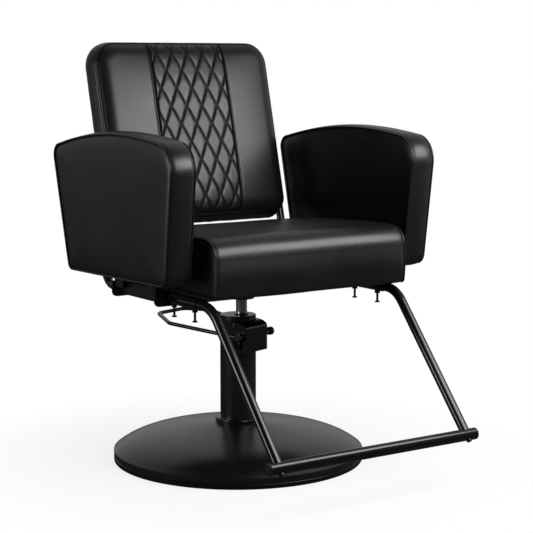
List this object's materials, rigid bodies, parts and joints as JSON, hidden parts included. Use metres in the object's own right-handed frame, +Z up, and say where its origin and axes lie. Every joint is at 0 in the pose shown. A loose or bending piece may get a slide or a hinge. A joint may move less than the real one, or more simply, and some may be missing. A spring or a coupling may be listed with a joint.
{
  "type": "hairdressing chair",
  "caption": "Padded hairdressing chair on a round base, with a foot-pumped ram, a turning seat, a sliding footrest, broad padded arms and a diamond-quilted back.",
  "frame": {"origin": "on the floor, under the axis that the seat turns on", "axes": "+Z up, -Y the way the sitter faces, +X to the sitter's left"},
  "size_m": [0.7214, 0.872, 0.996],
  "materials": {
    "floor_steel": "mill finish",
    "base_rubber": "matt",
    "satin_black": "satin",
    "gloss_black": "gloss",
    "black_plastic": "semi-gloss",
    "bare_steel": "machined",
    "chrome": "polished",
    "bronze": "machined",
    "seal_rubber": "matt",
    "plywood": "raw",
    "black_leather": "soft semi-gloss grain"
  },
  "bodies": {
    "base": {"base_plate": "floor_steel", "base_band": "base_rubber", "base_cover": "satin_black", "pump_flange": "satin_black", "flange_bolts": "bare_steel", "column_tube": "satin_black", "column_collar": "gloss_black", "pump_head": "gloss_black", "oil_cylinder": "bare_steel", "pump_cap": "satin_black", "ram_bush": "satin_black", "pump_shroud": "gloss_black", "shroud_screws": "satin_black", "shaft_bushes": "bronze"},
    "pedal": {"crank_shaft": "satin_black", "crank_finger": "bare_steel", "pedal_hubs": "gloss_black", "pedal_loop": "gloss_black"},
    "plunger": {"pump_plunger": "bare_steel"},
    "ram": {"ram_rod": "chrome", "ram_piston": "bare_steel", "ram_seal": "seal_rubber"},
    "seat": {"seat_hub": "satin_black", "swivel_washer": "bronze", "mount_plate": "satin_black", "front_cross_plate": "satin_black", "rear_cross_plate": "satin_black", "left_side_rail": "satin_black", "right_side_rail": "satin_black", "left_footrest_sleeve": "gloss_black", "right_footrest_sleeve": "gloss_black", "clamp_nuts": "gloss_black", "seat_board": "plywood", "seat_screws": "bare_steel", "seat_cushion": "black_leather", "left_arm_bracket": "satin_black", "right_arm_bracket": "satin_black", "arm_bolts": "bare_steel", "left_arm_board": "plywood", "right_arm_board": "plywood", "left_arm_pad": "black_leather", "right_arm_pad": "black_leather", "left_back_upright": "gloss_black", "right_back_upright": "gloss_black", "back_straps": "gloss_black", "back_bolts": "bare_steel", "back_board": "black_leather", "back_pad": "black_leather"},
    "footrest": {"left_footrest_tube": "gloss_black", "right_footrest_tube": "gloss_black", "footrest_bar": "gloss_black", "footrest_bar_caps": "black_plastic", "footrest_bar_screws": "gloss_black"},
    "left_front_thumb_screw": {"left_front_thumb_screw": "gloss_black"},
    "left_rear_thumb_screw": {"left_rear_thumb_screw": "gloss_black"},
    "right_front_thumb_screw": {"right_front_thumb_screw": "gloss_black"},
    "right_rear_thumb_screw": {"right_rear_thumb_screw": "gloss_black"}
  },
  "joints": [
    {"name": "pedal_press", "type": "hinge", "parent": "base", "child": "pedal", "pos_m": [0.00554, -0.03508, 0.303], "axis": [-0.9472, -0.3206, 0], "range_deg": [0, 24], "stiffness_Nm_per_rad": 20, "springref_deg": -11.46},
    {"name": "plunger_stroke", "type": "slide", "parent": "base", "child": "plunger", "axis": [0, 0, -1], "range_m": [0, 0.0072]},
    {"name": "ram_lift", "type": "slide", "parent": "base", "child": "ram", "axis": [0, 0, 1], "range_m": [0, 0.15]},
    {"name": "seat_swivel", "type": "hinge", "parent": "ram", "child": "seat", "pos_m": [0, 0, 0.386], "axis": [0, 0, 1], "continuous": true},
    {"name": "footrest_slide", "type": "slide", "parent": "seat", "child": "footrest", "axis": [0, -1, 0], "range_m": [0, 0.055]},
    {"name": "left_front_clamp_turn", "type": "hinge", "parent": "seat", "child": "left_front_thumb_screw", "pos_m": [0.2547, -0.201, 0.4], "axis": [0, 0, -1], "range_deg": [0, 360]},
    {"name": "left_rear_clamp_turn", "type": "hinge", "parent": "seat", "child": "left_rear_thumb_screw", "pos_m": [0.2547, -0.113, 0.4], "axis": [0, 0, -1], "range_deg": [0, 360]},
    {"name": "right_front_clamp_turn", "type": "hinge", "parent": "seat", "child": "right_front_thumb_screw", "pos_m": [-0.2547, -0.201, 0.4], "axis": [0, 0, -1], "range_deg": [0, 360]},
    {"name": "right_rear_clamp_turn", "type": "hinge", "parent": "seat", "child": "right_rear_thumb_screw", "pos_m": [-0.2547, -0.113, 0.4], "axis": [0, 0, -1], "range_deg": [0, 360]}
  ],
  "couplings": [
    {"joint": "plunger_stroke", "follows": "pedal_press", "m_per_rad": 0.017}
  ]
}
